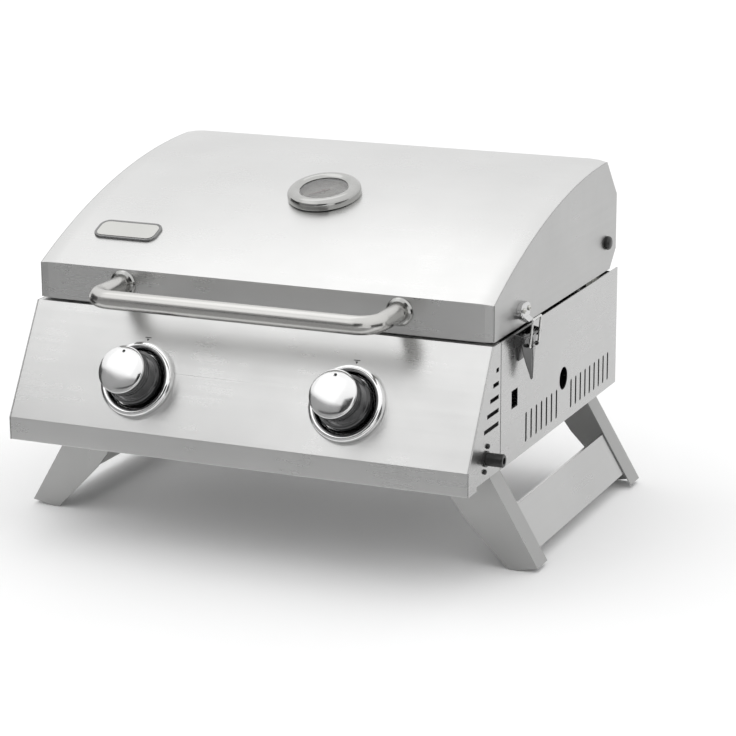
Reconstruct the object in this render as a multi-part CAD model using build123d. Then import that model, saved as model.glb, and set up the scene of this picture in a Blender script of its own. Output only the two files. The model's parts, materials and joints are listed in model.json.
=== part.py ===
"""Portable two-burner tabletop gas grill: firebox on folding legs, hinged lid, knobs, latches, drip tray.

X runs across the front, Y to the back, Z up; the feet stand on Z = 0 and the front faces -Y.
"""
from build123d import *
import os
from math import atan2, cos, degrees, hypot, radians, sin, sqrt, tan

os.makedirs("parts", exist_ok=True)

# ---- driving dimensions, mm ----
SHEET = 1.2                 # stainless sheet
BACK_Y = 230.1              # rear face of firebox and lid
BASE_HALF = 252.6           # firebox half width, outside
LID_HALF = 251.0            # lid half width, outside
FLOOR_Z = 106.5             # underside of the firebox
RIM_Z = 236.0               # top edge of the firebox sides
REAR_RIM_Z = 231.0          # the rear wall is lower, so the open lid leans on it
BULKHEAD_Y = BACK_Y - 353.5     # seam between firebox and control box
GAP = 0.4                   # clearance between parts that move past each other
FIT = 0.05                  # radial running clearance

# control box
LIP_Y = BACK_Y - 438.1      # front face of the panel's lower lip
LIP_TOP_Z = 126.6
PANEL_TOP_Y = BACK_Y - 374.3
CHEEK_DROP = 3.5            # the front lip hangs a little below the firebox
LIP_RETURN = 21.0           # depth of the panel's bottom return
SEAM = 1.3                  # open seam between a cheek and the firebox side

# lid
LID_BOTTOM_Z = 238.3
BAND_Y = BACK_Y - 370.2     # flat front band
BAND_TOP_Z = 276.0
RIDGE_Y = BACK_Y - 35.3
RIDGE_Z = 360.0
LID_RADIUS = 761.5
LID_REAR_TOP_Z = 318.5
LID_REAR_BOTTOM_Z = 257.8
LID_HEEL_Y = BACK_Y - 19.8  # foot of the chamfer behind the hinge
EDGE_WIDTH = 19.0           # rounded margin along each end of the lid
EDGE_DROP = 2.4
HINGE_Y = BACK_Y - 34.5
HINGE_Z = 269.5
HINGE_PIN_R = 3.0

# handle, thermometer, nameplate
HANDLE_X = 153.0
HANDLE_Z = 260.5
HANDLE_Y = BAND_Y - 66.1
TUBE_R = 9.5
GAUGE_X = 2.0
GAUGE_ARC = -194.3          # distance along the lid's arc from its highest point
GAUGE_R = 38.9
NAMEPLATE_X = -177.0
NAMEPLATE_ARC = -299.0

# knobs and burners
KNOB_X = 115.5
KNOB_SLOPE = 53.5           # distance up the panel from the lip
BEZEL_R = 39.5
BEZEL_HEIGHT = 9.6
KNOB_R = 24.8
KNOB_HEIGHT = 45.0
CAP_HEIGHT = 6.0            # chrome face at the top of the knob
KNOB_FOOT = 5.0             # gap under the skirt, more than the 3 mm that a knob pushes in
STEM_R = 3.0
PLUG_R = 6.0
VALVE_DEPTH = 34.0
BURNER_R = 15.0
BURNER_Z = 168.0
GRATE_Z = 216.0

# gas inlet on the right cheek
INLET_Y = BACK_Y - 393.5
INLET_Z = 129.5
INLET_R = 6.58              # over a quarter-inch pipe thread
INLET_SCREWS = [(BACK_Y - 389.2, 141.0), (BACK_Y - 397.3, 117.4)]

# grease outlet and drip tray
OUTLET_X = 25.0
OUTLET_Y0 = BACK_Y - 185.8
OUTLET_Y1 = BACK_Y - 135.8
TRAY_HALF = 60.0
TRAY_Y0 = BACK_Y - 245.8
TRAY_Y1 = BACK_Y - 25.8
TRAY_TOP_Z = 103.0
TRAY_DEPTH = 16.0

# latches
LATCH_Y = BACK_Y - 296.5
LEVER_PIVOT_Z = 230.0
LATCH_STAND = 5.0
LEVER_PIVOT_OUT = LATCH_STAND + 3.8
BAIL_PIVOT_Z = 221.0
BAIL_PIVOT_OUT = LATCH_STAND + 7.6
BAIL_TOP_Z = 249.0
KEEPER_Z = 255.0
KEEPER_OUT = 6.0
BAIL_OUT = LATCH_STAND + 10.4
WIRE_R = 1.2

# legs
LEG_FRONT_Y = BACK_Y - 340.2    # front face of the front leg
LEG_REAR_Y = BACK_Y - 16.1      # rear face of the rear leg
LEG_SHEET = 1.5
LEG_FLANGE = 28.4
LEG_LEAN = 30.4             # degrees from vertical
FOOT_X = 287.9
FOOT_HEEL_Z = 4.8
LEG_WIDTH = 48.5
LEG_PIVOT_Z = 92.5
LEG_PIN_R = 4.0
LEG_TOP_Z = FLOOR_Z - 1.5
BRACKET = 2.0

PANEL_ANGLE = degrees(atan2(PANEL_TOP_Y - LIP_Y, RIM_Z - LIP_TOP_Z))    # lean of the panel
ARC_START = (BAND_Y, BAND_TOP_Z)
ARC_END = (RIDGE_Y, RIDGE_Z)


# ---- helpers ----
def block(x0, x1, y0, y1, z0, z1):
    """Box between two corners."""
    return Pos((x0 + x1) / 2, (y0 + y1) / 2, (z0 + z1) / 2) * Box(x1 - x0, y1 - y0, z1 - z0)


def rod(start, end, radius):
    """Round bar between two points."""
    axis = Vector(*end) - Vector(*start)
    return extrude(Plane(origin=start, z_dir=axis) * Circle(radius), amount=axis.length)


def side_plate(points, x0, x1):
    """Outline in Y and Z, given a thickness along X."""
    return extrude(Plane.YZ.offset(x0) * Polygon(*points, align=None), amount=x1 - x0, dir=(1, 0, 0))


def cross_plate(points, y0, y1):
    """Outline in X and Z, given a thickness along Y."""
    return extrude(Plane.XZ.offset(-y0) * Polygon(*points, align=None), amount=y1 - y0, dir=(0, 1, 0))


def turned(plane, points):
    """Solid of revolution about the plane's normal; points are (radius, height)."""
    section = Plane.XZ * Polygon(*points, align=None)
    return plane * revolve(section, Axis.Z, 360)


def mirrored(shape):
    """The same piece on the other side of the grill."""
    return mirror(shape, about=Plane.YZ)


def save(name, shape):
    """Writes one piece."""
    export_step(shape, f"parts/{name}.step")


def save_pair(name, right_shape):
    """Writes a right-hand piece and its mirror image."""
    save(f"{name}_right", right_shape)
    save(f"{name}_left", mirrored(right_shape))


def screw(plane, head_r=3.6, head_h=2.2, shank_r=1.9, shank_l=6.0):
    """Pan-head screw whose head sits on the plane, with a cross slot."""
    head = plane * Pos(0, 0, head_h / 2) * Cylinder(head_r, head_h)
    head = fillet(head.edges().group_by(Axis(plane.origin, plane.z_dir))[-1], head_h * 0.6)
    shank = plane * Pos(0, 0, -shank_l / 2) * Cylinder(shank_r, shank_l)
    slots = [plane * Rot(0, 0, a) * Pos(0, 0, head_h) * Box(head_r * 1.1, 0.8, 1.2) for a in (45, 135)]
    return head + shank - slots[0] - slots[1]


# ---- the lid's side profile ----
def arc_centre():
    """Centre of the lid's arc, from its two ends and radius."""
    (y0, z0), (y1, z1) = ARC_START, ARC_END
    half = hypot(y1 - y0, z1 - z0) / 2
    drop = sqrt(LID_RADIUS ** 2 - half ** 2)
    ux, uz = (y1 - y0) / (2 * half), (z1 - z0) / (2 * half)
    return (y0 + y1) / 2 + uz * drop, (z0 + z1) / 2 - ux * drop


ARC_Y, ARC_Z = arc_centre()


def line_meets_arc(point, direction, radius):
    """Where a line meets the arc of that radius, on its upper side."""
    py, pz = point[0] - ARC_Y, point[1] - ARC_Z
    b = py * direction[0] + pz * direction[1]
    root = sqrt(b * b - (py * py + pz * pz - radius * radius))
    ends = [(point[0] + (s * root - b) * direction[0],
             point[1] + (s * root - b) * direction[1]) for s in (-1, 1)]
    return max(ends, key=lambda end: end[1])


def lid_face(inset, floor_z, plane):
    """The lid's side profile, moved in from its outer line by inset, on a YZ plane."""
    radius = LID_RADIUS - inset
    front = BAND_Y + inset
    back = BACK_Y - inset
    run = (BACK_Y - RIDGE_Y, LID_REAR_TOP_Z - RIDGE_Z)
    length = hypot(*run)
    slope = (run[0] / length, run[1] / length)
    on_slope = (RIDGE_Y + slope[1] * inset, RIDGE_Z - slope[0] * inset)
    ridge = line_meets_arc(on_slope, slope, radius)
    front_top = line_meets_arc((front, 0), (0, 1), radius)
    shoulder = (back, on_slope[1] + (back - on_slope[0]) * slope[1] / slope[0])
    middle_y = (front_top[0] + ridge[0]) / 2
    middle = (middle_y, ARC_Z + sqrt(radius ** 2 - (middle_y - ARC_Y) ** 2))
    heel_run = (BACK_Y - LID_HEEL_Y) / (LID_REAR_BOTTOM_Z - LID_BOTTOM_Z)
    heel_top = (back, LID_REAR_BOTTOM_Z)
    heel_foot = (LID_HEEL_Y - inset - (LID_BOTTOM_Z - floor_z) * heel_run, floor_z)
    arc = ThreePointArc(front_top, middle, ridge)
    rest = Polyline(ridge, shoulder, heel_top, heel_foot, (front, floor_z), front_top)
    return plane * make_face([arc, rest])


def lid_body(inset, floor_z, half_width):
    """Solid lid with rounded end margins, moved in from the outer surface by inset."""
    stations = [(half_width - EDGE_WIDTH, 0.0), (half_width - EDGE_WIDTH * 0.45, EDGE_DROP * 0.28),
                (half_width, EDGE_DROP)]
    middle = extrude(lid_face(inset, floor_z, Plane.YZ.offset(-stations[0][0])), amount=2 * stations[0][0],
                     dir=(1, 0, 0))
    body = middle
    for (xa, da), (xb, db) in zip(stations, stations[1:]):
        wedge = loft([lid_face(inset + da, floor_z, Plane.YZ.offset(xa)),
                      lid_face(inset + db, floor_z, Plane.YZ.offset(xb))], ruled=True)
        body = body + wedge + mirrored(wedge)
    return body


def on_lid(x, arc_length, height=0.0):
    """Plane that lies on the lid's arc, with its normal pointing out of the lid."""
    angle = arc_length / LID_RADIUS
    radius = LID_RADIUS + height
    origin = (x, ARC_Y + radius * sin(angle), ARC_Z + radius * cos(angle))
    return Plane(origin=origin, x_dir=(1, 0, 0), z_dir=(0, sin(angle), cos(angle)))


GAUGE = on_lid(GAUGE_X, GAUGE_ARC)


def lid_cover():
    """Front band, arched top, rear slope and rear wall in one bent sheet."""
    reach = LID_HALF - SHEET
    outer = lid_body(0, LID_BOTTOM_Z, reach)
    inner = lid_body(SHEET, LID_BOTTOM_Z - 5, reach + 0.001)
    cover = outer - inner
    cover -= block(-300, 300, RIDGE_Y, BACK_Y + 5, LID_BOTTOM_Z - 10, LID_REAR_BOTTOM_Z)
    cover -= GAUGE * Cylinder(4.9, 20)
    for x in (-HANDLE_X, HANDLE_X):
        cover -= rod((x, BAND_Y - 5, HANDLE_Z), (x, BAND_Y + 5, HANDLE_Z), 3.0)
    turn_in = block(-reach + EDGE_WIDTH, reach - EDGE_WIDTH, BAND_Y + SHEET, BAND_Y + 11,
                    LID_BOTTOM_Z, LID_BOTTOM_Z + SHEET)
    return cover + turn_in


def lid_end():
    """Right end plate of the lid."""
    x0 = LID_HALF - SHEET
    plate = extrude(lid_face(EDGE_DROP, LID_BOTTOM_Z, Plane.YZ.offset(x0)), amount=SHEET, dir=(1, 0, 0))
    return plate - rod((x0 - 1, HINGE_Y, HINGE_Z), (LID_HALF + 1, HINGE_Y, HINGE_Z), HINGE_PIN_R)


def handle():
    """Bent round tube with plugged ends."""
    def run(start_y):
        corners = [(-HANDLE_X, start_y, HANDLE_Z), (-HANDLE_X, HANDLE_Y, HANDLE_Z),
                   (HANDLE_X, HANDLE_Y, HANDLE_Z), (HANDLE_X, start_y, HANDLE_Z)]
        return FilletPolyline(*corners, radius=20)

    tube = sweep(Plane(origin=(-HANDLE_X, BAND_Y, HANDLE_Z), z_dir=(0, -1, 0)) * Circle(TUBE_R),
                 path=run(BAND_Y))
    inner_y = BAND_Y - 14
    bore = sweep(Plane(origin=(-HANDLE_X, inner_y, HANDLE_Z), z_dir=(0, -1, 0)) * Circle(TUBE_R - SHEET),
                 path=run(inner_y))
    tube -= bore
    for x in (-HANDLE_X, HANDLE_X):
        tube -= rod((x, BAND_Y, HANDLE_Z), (x, inner_y - 1, HANDLE_Z), 3.0)
    return tube


def rosette(x):
    """Chrome collar where the handle meets the band."""
    plane = Plane(origin=(x, BAND_Y, HANDLE_Z), z_dir=(0, -1, 0))
    return turned(plane, [(TUBE_R, 0), (14.5, 0), (14.5, 1.4), (13.2, 3.4), (11.2, 4.4), (TUBE_R, 4.4)])


def handle_bolt(x):
    """Hex screw inside the lid that holds the handle."""
    plane = Plane(origin=(x, BAND_Y + SHEET, HANDLE_Z), z_dir=(0, 1, 0))
    head = extrude(plane * RegularPolygon(6.2, 6), amount=4.5)
    return head + rod((x, BAND_Y + SHEET, HANDLE_Z), (x, BAND_Y - 12, HANDLE_Z), 3.0)


def gauge_bezel():
    """Thick ring of the lid thermometer."""
    return turned(GAUGE, [(28, 0), (GAUGE_R, 0), (GAUGE_R, 6.2), (37.8, 8.6), (35.4, 10.4), (31.8, 11.1),
                          (27.6, 10.6), (25.2, 9.0), (25.2, 8.2), (28, 8.2)])


def gauge_stem():
    """Dial pan, probe and clamping nut of the thermometer."""
    pan = turned(GAUGE, [(0, 0), (27.9, 0), (27.9, 2.9), (0, 2.9)])
    collar = GAUGE * Pos(0, 0, -4) * Cylinder(4.9, 8)
    nut = extrude(GAUGE * Pos(0, 0, -SHEET - 4.6) * RegularPolygon(8.5, 6), amount=4.4)
    probe = GAUGE * Pos(0, 0, -25) * Cylinder(2.4, 50)
    socket = GAUGE * Pos(0, 0, 2) * Cylinder(0.9, 4)
    return pan + collar + nut + probe - socket


def gauge_needle():
    """Pointer with its spindle; at rest it points to the cold end of the scale."""
    plane = GAUGE * Pos(0, 0, 4.7) * Rot(0, 0, 225)
    outline = plane * Polygon((-6, -1.2), (3, -1.2), (17.5, -0.3), (17.5, 0.3), (3, 1.2), (-6, 1.2),
                              align=None)
    pointer = extrude(outline, amount=0.5)
    hub = GAUGE * Pos(0, 0, 5.2) * Cylinder(2.4, 1.0)
    spindle = GAUGE * Pos(0, 0, 2.9) * Cylinder(0.9 - FIT, 4.0)
    return pointer + hub + spindle


def nameplate():
    """Blank rounded badge with a raised rim."""
    plane = on_lid(NAMEPLATE_X, NAMEPLATE_ARC)
    plate = extrude(plane * RectangleRounded(73, 31, 11), amount=2.4)
    plate = chamfer(plate.edges().group_by(Axis(plane.origin, plane.z_dir))[-1], 0.8)
    well = extrude(plane * Pos(0, 0, 1.8) * RectangleRounded(67, 25, 8.5), amount=1)
    return plate - well


def hinge_bolt():
    """Bolt of the right lid hinge, with a black cap outside and a nut inside."""
    plane = Plane(origin=(LID_HALF, HINGE_Y, HINGE_Z), z_dir=(1, 0, 0))
    cap = turned(plane, [(0, 0), (7.4, 0), (7.4, 2.6), (6.2, 4.6), (3.6, 5.6), (0, 5.8)])
    shank = rod((LID_HALF, HINGE_Y, HINGE_Z), (LID_HALF - 9.5, HINGE_Y, HINGE_Z), HINGE_PIN_R)
    nut = extrude(Plane(origin=(LID_HALF - 9.6, HINGE_Y, HINGE_Z), z_dir=(1, 0, 0)) * RegularPolygon(5.8, 6),
                  amount=4.6)
    return cap + shank + nut


def hinge_arm():
    """Gooseneck arm from the firebox side up to the right lid bolt."""
    x0, x1 = LID_HALF - 4.6, LID_HALF - 1.9
    y, z = HINGE_Y, HINGE_Z
    foot_z = GRATE_Z + 5
    neck = [(y - 60, foot_z), (y - 19, foot_z), (y - 19, z - 34), (y - 6, z - 9), (y - 8, z + 7),
            (y - 18, z + 2),
            (y - 60, z - 32)]
    arm = side_plate(neck, x0, x1) + rod((x0, y, z), (x1, y, z), 11)
    foot = block(x1, BASE_HALF - SHEET, y - 60, y - 19, foot_z, RIM_Z - 2)
    return arm + foot - rod((x0 - 1, y, z), (x1 + 1, y, z), HINGE_PIN_R + FIT)


# ---- firebox ----
def round_slot(y, z, width, height, x0, x1):
    """Upright slot with round ends, cut through a side sheet."""
    outline = Plane.YZ.offset(x0) * Pos(y, z) * SlotOverall(height, width, 90)
    return extrude(outline, amount=x1 - x0, dir=(1, 0, 0))


def firebox_side():
    """Right side sheet with its vents, lighting hole and window."""
    x0, x1 = BASE_HALF - SHEET, BASE_HALF
    wall = block(x0, x1, BULKHEAD_Y, BACK_Y, FLOOR_Z, RIM_Z)
    cut0, cut1 = x0 - 1, x1 + 1
    for index in range(7):
        wall -= round_slot(BACK_Y - 282.5 + 15.0 * index, 131.5, 4.2, 31, cut0, cut1)
    for index in range(9):
        wall -= round_slot(BACK_Y - 147.5 + 14.9 * index, 131.5, 4.2, 31, cut0, cut1)
    wall -= rod((cut0, BACK_Y - 172, 154), (cut1, BACK_Y - 172, 154), 12)
    wall -= block(cut0, cut1, BACK_Y - 324.5, BACK_Y - 307.5, 160.5, 179)
    return wall


def firebox_rear():
    """Rear sheet with a row of exhaust slots."""
    wall = block(-BASE_HALF + SHEET, BASE_HALF - SHEET, BACK_Y - SHEET, BACK_Y, FLOOR_Z, REAR_RIM_Z)
    for index in range(9):
        x = 40.0 * (index - 4)
        wall -= block(x - 13, x + 13, BACK_Y - 3, BACK_Y + 1, 200, 204)
    return wall


def bulkhead():
    """Front sheet of the firebox, with a hole for each burner tube."""
    wall = block(-BASE_HALF + SHEET, BASE_HALF - SHEET, BULKHEAD_Y, BULKHEAD_Y + SHEET, FLOOR_Z + SHEET,
                 RIM_Z - 4)
    for x in (-KNOB_X, KNOB_X):
        wall -= rod((x, BULKHEAD_Y - 1, BURNER_Z), (x, BULKHEAD_Y + 3, BURNER_Z), BURNER_R + 0.5)
    return wall


def firebox_floor():
    """Floor sheet with the grease outlet above the drip tray."""
    floor = block(-BASE_HALF + SHEET, BASE_HALF - SHEET, BULKHEAD_Y, BACK_Y - SHEET, FLOOR_Z,
                  FLOOR_Z + SHEET)
    return floor - block(-OUTLET_X, OUTLET_X, OUTLET_Y0, OUTLET_Y1, FLOOR_Z - 1, FLOOR_Z + 3)


def panel_outline(inset):
    """Lip, sloping face and top of the control box, from the bottom forwards and up."""
    angle = radians(PANEL_ANGLE)
    lip_top = LIP_TOP_Z + inset * tan(angle / 2) * -1
    top_y = PANEL_TOP_Y + inset * (1 - sin(angle)) / cos(angle)
    return [(LIP_Y + inset, FLOOR_Z - CHEEK_DROP + inset), (LIP_Y + inset, lip_top), (top_y, RIM_Z - inset)]


def control_panel():
    """Bent front panel: bottom return, lip, sloping face and top return."""
    outer = panel_outline(0)
    inner = panel_outline(SHEET)
    lip_end = LIP_Y + LIP_RETURN
    top_end = BULKHEAD_Y
    points = [(lip_end, outer[0][1])] + outer + [(top_end, RIM_Z), (top_end, RIM_Z - SHEET)]
    points += inner[::-1] + [(lip_end, inner[0][1])]
    half = BASE_HALF - SHEET
    panel = side_plate(points, -half, half)
    for x in (-KNOB_X, KNOB_X):
        panel -= knob_plane(x) * Cylinder(11, 20)
    return panel


def knob_plane(x, height=0.0):
    """Plane on the panel's face at a knob, with its normal pointing out of the panel."""
    angle = radians(PANEL_ANGLE)
    y = LIP_Y + KNOB_SLOPE * sin(angle) - height * cos(angle)
    z = LIP_TOP_Z + KNOB_SLOPE * cos(angle) + height * sin(angle)
    return Plane(origin=(x, y, z), x_dir=(1, 0, 0), z_dir=(0, -cos(angle), sin(angle)))


def cheek():
    """Right cheek of the control box, with five louvre slots and the gas inlet hole."""
    x0, x1 = BASE_HALF - SHEET, BASE_HALF
    outer = panel_outline(0)
    seam_y = BULKHEAD_Y - SEAM
    points = [(seam_y, FLOOR_Z + 1), (LIP_Y + LIP_RETURN, FLOOR_Z + 1), (LIP_Y + LIP_RETURN, outer[0][1])]
    points += outer + [(seam_y, RIM_Z)]
    plate = side_plate(points, x0, x1)
    angle = radians(PANEL_ANGLE)
    for index in range(5):
        z = 210.4 - 13.55 * index
        front = LIP_Y + (z - LIP_TOP_Z) * tan(angle) + 22.5
        plate -= block(x0 - 1, x1 + 1, front, BULKHEAD_Y - 6, z - 2.1, z + 2.1)
    for y, z in INLET_SCREWS:
        plate -= rod((x0 - 1, y, z), (x1 + 1, y, z), 1.5)
    return plate - rod((x0 - 1, INLET_Y, INLET_Z), (x1 + 1, INLET_Y, INLET_Z), 6.0)


def grate_ledges():
    """Angle strips that carry the grates along the front and rear walls."""
    half = BASE_HALF - SHEET
    front = block(-half, half, BULKHEAD_Y + SHEET, BULKHEAD_Y + 14, GRATE_Z - 6.2, GRATE_Z - 5)
    rear = block(-half, half, BACK_Y - 14, BACK_Y - SHEET, GRATE_Z - 6.2, GRATE_Z - 5)
    return Compound(children=[front, rear])


def grate(x0, x1):
    """Cooking grate: two cross bars under a row of round bars."""
    y0, y1 = BULKHEAD_Y + 4, BACK_Y - 4
    bars = []
    count = 17
    for index in range(count):
        x = x0 + 3 + (x1 - x0 - 6) * index / (count - 1)
        bars.append(rod((x, y0, GRATE_Z), (x, y1, GRATE_Z), 2.4))
    for y in (y0 + 30, (y0 + y1) / 2, y1 - 30):
        bars.append(rod((x0 + 1, y, GRATE_Z - 3.4), (x1 - 1, y, GRATE_Z - 3.4), 2.2))
    frame = bars[0]
    for bar in bars[1:]:
        frame = frame + bar
    return frame


def burner(x):
    """Tube burner with two rows of ports, closed at the rear, open at the venturi."""
    y0, y1 = BULKHEAD_Y - 22, BACK_Y - 22
    tube = rod((x, y0, BURNER_Z), (x, y1, BURNER_Z), BURNER_R)
    tube -= rod((x, y0 - 1, BURNER_Z), (x, y1 - 1.2, BURNER_Z), BURNER_R - 1.2)
    ports = []
    for side in (-1, 1):
        for index in range(20):
            y = BULKHEAD_Y + 40 + 14 * index
            ports.append(rod((x, y, BURNER_Z), (x + side * 20, y, BURNER_Z + 14), 1.4))
    tube -= ports
    tab = block(x - 9, x + 9, y1, BACK_Y - SHEET, BURNER_Z - 1.5, BURNER_Z + 1.5)
    return tube + tab


def heat_tent(x):
    """Folded sheet over a burner that spreads the heat and sheds grease."""
    half, rise, thick = 48, 20, 1.2
    z = BURNER_Z + 17
    outline = [(x - half, z - 2), (x, z + rise - 2), (x + half, z - 2), (x + half, z - 2 + thick),
               (x, z + rise - 2 + thick * 1.1), (x - half, z - 2 + thick)]
    return cross_plate(outline, BULKHEAD_Y + SHEET, BACK_Y - SHEET)


def valve_block(x):
    """Outer block of a valve."""
    return knob_plane(x, -SHEET) * Pos(0, 0, -VALVE_DEPTH / 2 - 1) * Box(24, 24, VALVE_DEPTH)


def valve_body(x):
    """Gas valve block behind the panel, bored for its plug."""
    plane = knob_plane(x, -SHEET)
    body = valve_block(x)
    body -= plane * Pos(0, 0, -VALVE_DEPTH / 2) * Cylinder(PLUG_R + FIT, VALVE_DEPTH - 6)
    body -= plane * Pos(0, 0, -5) * Cylinder(PLUG_R + FIT, 10)
    return body


def valve_plug(x):
    """Rotating plug of the valve, driven by the knob's stem."""
    plane = knob_plane(x, -SHEET)
    plug = plane * Pos(0, 0, -11) * Cylinder(PLUG_R, 20)
    return plug - plane * Pos(0, 0, -8) * Cylinder(STEM_R + FIT, 26.2)


def knob(x):
    """Black skirt and grip with the stem that reaches into the valve."""
    plane = knob_plane(x)
    top = KNOB_HEIGHT - CAP_HEIGHT
    skirt = turned(plane, [(0, KNOB_FOOT), (KNOB_R + 1.2, KNOB_FOOT), (KNOB_R + 3.2, KNOB_FOOT + 3),
                           (KNOB_R + 3.2, KNOB_FOOT + 9), (KNOB_R + 0.6, KNOB_FOOT + 10.4),
                           (KNOB_R - 1.2, KNOB_FOOT + 18), (KNOB_R - 1.2, top), (0, top)])
    stem_low, stem_high = -13.0, KNOB_FOOT
    middle = (stem_low + stem_high) / 2
    return skirt + plane * Pos(0, 0, middle) * Cylinder(STEM_R, stem_high - stem_low)


def knob_cap(x):
    """Domed chrome face of the knob, with the pointer's dimple near its top edge."""
    plane = knob_plane(x)
    low, top = KNOB_HEIGHT - CAP_HEIGHT, KNOB_HEIGHT
    cap = turned(plane, [(0, low), (KNOB_R, low), (KNOB_R, top - 3.5), (KNOB_R - 1.5, top - 1.8),
                         (KNOB_R - 4, top - 0.8), (10, top), (0, top + 0.2)])
    return cap - plane * Pos(0, KNOB_R - 6.6, top - 0.4) * Cylinder(1.5, 2.4)


def bezel(x):
    """Chrome ring round a knob, hollow inside."""
    crest = BEZEL_HEIGHT
    outside = [(BEZEL_R, 0), (BEZEL_R, crest - 3.8), (BEZEL_R - 1.4, crest - 1.2), (BEZEL_R - 4.2, crest)]
    inside = [(BEZEL_R - 7.4, crest - 1.4), (BEZEL_R - 8.8, crest - 4.4), (BEZEL_R - 9.4, 1.4)]
    return turned(knob_plane(x), outside + inside + [(16, 1.4), (16, 0)])


def electrode(x):
    """Ceramic igniter beside a burner, with its wire tip."""
    body = rod((x - 22, BULKHEAD_Y + SHEET, BURNER_Z + 6), (x - 22, BULKHEAD_Y + 42, BURNER_Z + 6), 3.2)
    return body + rod((x - 22, BULKHEAD_Y + 42, BURNER_Z + 6), (x - 22, BULKHEAD_Y + 54, BURNER_Z + 6), 1.0)


def manifold():
    """Gas pipe across the control box, from the inlet to the two valves."""
    centre = knob_plane(0, -SHEET - 14).origin
    y, z = centre.Y + 4, centre.Z - 24
    pipe = rod((-KNOB_X - 20, y, z), (225, y, z), 6.5)
    for x in (-KNOB_X, KNOB_X):
        riser = rod((x, y, z), (x, y, z + 24), 5.0)
        pipe += riser - valve_block(x)
    corner = FilletPolyline((224, y, z), (236, y, z), (236, INLET_Y, INLET_Z),
                            (BASE_HALF - 7, INLET_Y, INLET_Z),
                            radius=5.5)
    return pipe + sweep(Plane(origin=(224, y, z), z_dir=(1, 0, 0)) * Circle(5.0), path=corner)


def gas_inlet():
    """Threaded inlet nipple with its collar, standing out of the right cheek."""
    face = BASE_HALF
    plane = Plane(origin=(face, INLET_Y, INLET_Z), z_dir=(1, 0, 0))
    collar = [(0, -6.9), (6.0, -6.9), (6.0, 0), (8.0, 0), (8.0, 1.6)]
    nipple = [(INLET_R, 1.6), (INLET_R, 18.2), (INLET_R - 0.8, 19.0), (3.6, 19.0), (3.6, 2.0), (0, 2.0)]
    return turned(plane, collar + nipple)


def inlet_screws():
    """Two small screws above and below the inlet."""
    return Compound(children=[screw(Plane(origin=(BASE_HALF, y, z), z_dir=(1, 0, 0)), head_r=2.6, shank_r=1.5)
                              for y, z in INLET_SCREWS])


# ---- drip tray ----
def drip_tray():
    """Shallow tray with side flanges and a pull tab at the rear."""
    z1 = TRAY_TOP_Z
    z0 = z1 - TRAY_DEPTH
    pan = block(-TRAY_HALF, TRAY_HALF, TRAY_Y0, TRAY_Y1, z0, z1)
    pan -= block(-TRAY_HALF + 1, TRAY_HALF - 1, TRAY_Y0 + 1, TRAY_Y1 - 1, z0 + 1, z1 + 1)
    for side in (-1, 1):
        edge = side * (TRAY_HALF + 3.5)
        pan += block(edge - 3.5, edge + 3.5, TRAY_Y0, TRAY_Y1, z1 - 1, z1)
    return pan + block(-25, 25, TRAY_Y1, TRAY_Y1 + 20, z1 - 9, z1 - 8)


def tray_rails():
    """Z-shaped rails under the floor that carry the tray's flanges."""
    rails = []
    for side in (-1, 1):
        inner, outer = side * (TRAY_HALF + 1.6), side * (TRAY_HALF + 9)
        low, high = min(inner, outer), max(inner, outer)
        shelf = block(low, high, TRAY_Y0, TRAY_Y1 - 5, TRAY_TOP_Z - 2.6, TRAY_TOP_Z - 1.4)
        web0 = min(outer, outer - side * 1.2)
        web = block(web0, web0 + 1.2, TRAY_Y0, TRAY_Y1 - 5, TRAY_TOP_Z - 2.6, FLOOR_Z)
        rails.append(shelf + web)
    return Compound(children=rails)


# ---- legs ----
LEAN = radians(LEG_LEAN)
LEG_DIR = (sin(LEAN), -cos(LEAN))       # down the leg
LEG_OUT = (cos(LEAN), sin(LEAN))        # out of the leg, across its flange


def leg_point(down, inward):
    """Point in X and Z, measured down the leg from the foot's outer corner and in from its outer face."""
    return (FOOT_X + LEG_DIR[0] * down - LEG_OUT[0] * inward,
            FOOT_HEEL_Z + LEG_DIR[1] * down - LEG_OUT[1] * inward)


LEG_PIVOT_X = leg_point((FOOT_HEEL_Z - LEG_PIVOT_Z) / cos(LEAN), 0)[0] - (LEG_WIDTH - 12.5) / cos(LEAN)


def leg_plate(y0, y1):
    """Tapered leg plate with a round eye at its pivot and a small flat under its foot."""
    top_out = leg_point((FOOT_HEEL_Z - LEG_TOP_Z) / cos(LEAN), 0)
    knee = leg_point(-101.5 + 21.0, LEG_WIDTH)
    reach = radians(44.5)
    inner_foot = (255.5, 1.4)
    shoulder_in = (knee[0] - 20 * LEG_DIR[0], knee[1] - 20 * LEG_DIR[1])
    outline = [top_out, (FOOT_X, FOOT_HEEL_Z), (263.5, 0.0), (257.0, 0.0), inner_foot,
               (inner_foot[0] - (knee[1] - inner_foot[1]) * tan(reach), knee[1]), shoulder_in,
               (LEG_PIVOT_X - 4, LEG_PIVOT_Z + 6), (LEG_PIVOT_X + 2, LEG_TOP_Z)]
    plate = cross_plate(outline, y0, y1)
    plate += rod((LEG_PIVOT_X, y0, LEG_PIVOT_Z), (LEG_PIVOT_X, y1, LEG_PIVOT_Z), 12)
    return plate - rod((LEG_PIVOT_X, y0 - 1, LEG_PIVOT_Z), (LEG_PIVOT_X, y1 + 1, LEG_PIVOT_Z),
                       LEG_PIN_R + FIT)


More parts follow.
